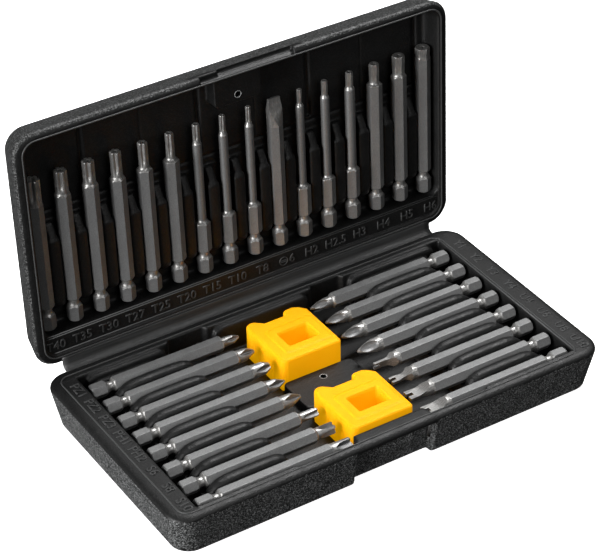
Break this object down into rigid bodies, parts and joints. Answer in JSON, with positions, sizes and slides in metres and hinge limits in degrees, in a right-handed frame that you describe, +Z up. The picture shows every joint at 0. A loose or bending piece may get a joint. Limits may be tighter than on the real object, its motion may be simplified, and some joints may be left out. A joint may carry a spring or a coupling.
{
  "type": "long-reach hex bit set",
  "caption": "Hinged blow-moulded case open to show long-reach hex-shank driver bits in moulded channels, with yellow magnetiser blocks in the middle of the base.",
  "frame": {"origin": "centre of the case base's footprint, on the surface it lies on", "axes": "+X along the hinge, +Y from the latch to the hinge, +Z up; the lid is stood open"},
  "size_m": [0.2172, 0.1375, 0.1389],
  "materials": {
    "case_plastic": "matte",
    "hinge_web": "matte",
    "bit_steel": "satin",
    "magnetiser_plastic": "satin",
    "magnet": "satin"
  },
  "bodies": {
    "base": {"case_base": "case_plastic", "living_hinge": "hinge_web"},
    "lid": {"case_lid": "case_plastic"},
    "bit_pozi_1": {"bit_pozi_1": "bit_steel"},
    "bit_pozi_2": {"bit_pozi_2": "bit_steel"},
    "bit_pozi_3": {"bit_pozi_3": "bit_steel"},
    "bit_cross_1": {"bit_cross_1": "bit_steel"},
    "bit_cross_2": {"bit_cross_2": "bit_steel"},
    "bit_offset_cross_6": {"bit_offset_cross_6": "bit_steel"},
    "bit_offset_cross_8": {"bit_offset_cross_8": "bit_steel"},
    "bit_offset_cross_10": {"bit_offset_cross_10": "bit_steel"},
    "bit_tri_1": {"bit_tri_1": "bit_steel"},
    "bit_tri_2": {"bit_tri_2": "bit_steel"},
    "bit_tri_3": {"bit_tri_3": "bit_steel"},
    "bit_tri_4": {"bit_tri_4": "bit_steel"},
    "bit_fork_4": {"bit_fork_4": "bit_steel"},
    "bit_fork_6": {"bit_fork_6": "bit_steel"},
    "bit_fork_8": {"bit_fork_8": "bit_steel"},
    "bit_fork_10": {"bit_fork_10": "bit_steel"},
    "bit_star_40": {"bit_star_40": "bit_steel"},
    "bit_star_35": {"bit_star_35": "bit_steel"},
    "bit_star_30": {"bit_star_30": "bit_steel"},
    "bit_star_27": {"bit_star_27": "bit_steel"},
    "bit_star_25": {"bit_star_25": "bit_steel"},
    "bit_star_20": {"bit_star_20": "bit_steel"},
    "bit_star_15": {"bit_star_15": "bit_steel"},
    "bit_star_10": {"bit_star_10": "bit_steel"},
    "bit_star_8": {"bit_star_8": "bit_steel"},
    "bit_slot_6": {"bit_slot_6": "bit_steel"},
    "bit_hex_2": {"bit_hex_2": "bit_steel"},
    "bit_hex_2_5": {"bit_hex_2_5": "bit_steel"},
    "bit_hex_3": {"bit_hex_3": "bit_steel"},
    "bit_hex_4": {"bit_hex_4": "bit_steel"},
    "bit_hex_5": {"bit_hex_5": "bit_steel"},
    "bit_hex_6": {"bit_hex_6": "bit_steel"},
    "magnetiser_rear": {"magnetiser_rear_body": "magnetiser_plastic", "magnetiser_rear_cover": "magnetiser_plastic", "magnetiser_rear_magnet_left": "magnet", "magnetiser_rear_magnet_right": "magnet"},
    "magnetiser_front": {"magnetiser_front_body": "magnetiser_plastic", "magnetiser_front_cover": "magnetiser_plastic", "magnetiser_front_magnet_left": "magnet", "magnetiser_front_magnet_right": "magnet"}
  },
  "joints": [
    {"name": "lid_hinge", "type": "hinge", "parent": "base", "child": "lid", "pos_m": [0, 0.0597, 0.0225], "axis": [-1, 0, 0], "range_deg": [-92.2, 87.8]},
    {"name": "bit_pozi_1_lift", "type": "slide", "parent": "base", "child": "bit_pozi_1", "axis": [0, 0, 1], "range_m": [0, 0.03]},
    {"name": "bit_pozi_2_lift", "type": "slide", "parent": "base", "child": "bit_pozi_2", "axis": [0, 0, 1], "range_m": [0, 0.03]},
    {"name": "bit_pozi_3_lift", "type": "slide", "parent": "base", "child": "bit_pozi_3", "axis": [0, 0, 1], "range_m": [0, 0.03]},
    {"name": "bit_cross_1_lift", "type": "slide", "parent": "base", "child": "bit_cross_1", "axis": [0, 0, 1], "range_m": [0, 0.03]},
    {"name": "bit_cross_2_lift", "type": "slide", "parent": "base", "child": "bit_cross_2", "axis": [0, 0, 1], "range_m": [0, 0.03]},
    {"name": "bit_offset_cross_6_lift", "type": "slide", "parent": "base", "child": "bit_offset_cross_6", "axis": [0, 0, 1], "range_m": [0, 0.03]},
    {"name": "bit_offset_cross_8_lift", "type": "slide", "parent": "base", "child": "bit_offset_cross_8", "axis": [0, 0, 1], "range_m": [0, 0.03]},
    {"name": "bit_offset_cross_10_lift", "type": "slide", "parent": "base", "child": "bit_offset_cross_10", "axis": [0, 0, 1], "range_m": [0, 0.03]},
    {"name": "bit_tri_1_lift", "type": "slide", "parent": "base", "child": "bit_tri_1", "axis": [0, 0, 1], "range_m": [0, 0.03]},
    {"name": "bit_tri_2_lift", "type": "slide", "parent": "base", "child": "bit_tri_2", "axis": [0, 0, 1], "range_m": [0, 0.03]},
    {"name": "bit_tri_3_lift", "type": "slide", "parent": "base", "child": "bit_tri_3", "axis": [0, 0, 1], "range_m": [0, 0.03]},
    {"name": "bit_tri_4_lift", "type": "slide", "parent": "base", "child": "bit_tri_4", "axis": [0, 0, 1], "range_m": [0, 0.03]},
    {"name": "bit_fork_4_lift", "type": "slide", "parent": "base", "child": "bit_fork_4", "axis": [0, 0, 1], "range_m": [0, 0.03]},
    {"name": "bit_fork_6_lift", "type": "slide", "parent": "base", "child": "bit_fork_6", "axis": [0, 0, 1], "range_m": [0, 0.03]},
    {"name": "bit_fork_8_lift", "type": "slide", "parent": "base", "child": "bit_fork_8", "axis": [0, 0, 1], "range_m": [0, 0.03]},
    {"name": "bit_fork_10_lift", "type": "slide", "parent": "base", "child": "bit_fork_10", "axis": [0, 0, 1], "range_m": [0, 0.03]},
    {"name": "bit_star_40_lift", "type": "slide", "parent": "lid", "child": "bit_star_40", "axis": [0, -0.9993, 0.0384], "range_m": [0, 0.03]},
    {"name": "bit_star_35_lift", "type": "slide", "parent": "lid", "child": "bit_star_35", "axis": [0, -0.9993, 0.0384], "range_m": [0, 0.03]},
    {"name": "bit_star_30_lift", "type": "slide", "parent": "lid", "child": "bit_star_30", "axis": [0, -0.9993, 0.0384], "range_m": [0, 0.03]},
    {"name": "bit_star_27_lift", "type": "slide", "parent": "lid", "child": "bit_star_27", "axis": [0, -0.9993, 0.0384], "range_m": [0, 0.03]},
    {"name": "bit_star_25_lift", "type": "slide", "parent": "lid", "child": "bit_star_25", "axis": [0, -0.9993, 0.0384], "range_m": [0, 0.03]},
    {"name": "bit_star_20_lift", "type": "slide", "parent": "lid", "child": "bit_star_20", "axis": [0, -0.9993, 0.0384], "range_m": [0, 0.03]},
    {"name": "bit_star_15_lift", "type": "slide", "parent": "lid", "child": "bit_star_15", "axis": [0, -0.9993, 0.0384], "range_m": [0, 0.03]},
    {"name": "bit_star_10_lift", "type": "slide", "parent": "lid", "child": "bit_star_10", "axis": [0, -0.9993, 0.0384], "range_m": [0, 0.03]},
    {"name": "bit_star_8_lift", "type": "slide", "parent": "lid", "child": "bit_star_8", "axis": [0, -0.9993, 0.0384], "range_m": [0, 0.03]},
    {"name": "bit_slot_6_lift", "type": "slide", "parent": "lid", "child": "bit_slot_6", "axis": [0, -0.9993, 0.0384], "range_m": [0, 0.03]},
    {"name": "bit_hex_2_lift", "type": "slide", "parent": "lid", "child": "bit_hex_2", "axis": [0, -0.9993, 0.0384], "range_m": [0, 0.03]},
    {"name": "bit_hex_2_5_lift", "type": "slide", "parent": "lid", "child": "bit_hex_2_5", "axis": [0, -0.9993, 0.0384], "range_m": [0, 0.03]},
    {"name": "bit_hex_3_lift", "type": "slide", "parent": "lid", "child": "bit_hex_3", "axis": [0, -0.9993, 0.0384], "range_m": [0, 0.03]},
    {"name": "bit_hex_4_lift", "type": "slide", "parent": "lid", "child": "bit_hex_4", "axis": [0, -0.9993, 0.0384], "range_m": [0, 0.03]},
    {"name": "bit_hex_5_lift", "type": "slide", "parent": "lid", "child": "bit_hex_5", "axis": [0, -0.9993, 0.0384], "range_m": [0, 0.03]},
    {"name": "bit_hex_6_lift", "type": "slide", "parent": "lid", "child": "bit_hex_6", "axis": [0, -0.9993, 0.0384], "range_m": [0, 0.03]},
    {"name": "magnetiser_rear_lift", "type": "slide", "parent": "base", "child": "magnetiser_rear", "axis": [0, 0, 1], "range_m": [0, 0.035]},
    {"name": "magnetiser_front_lift", "type": "slide", "parent": "base", "child": "magnetiser_front", "axis": [0, 0, 1], "range_m": [0, 0.035]}
  ]
}
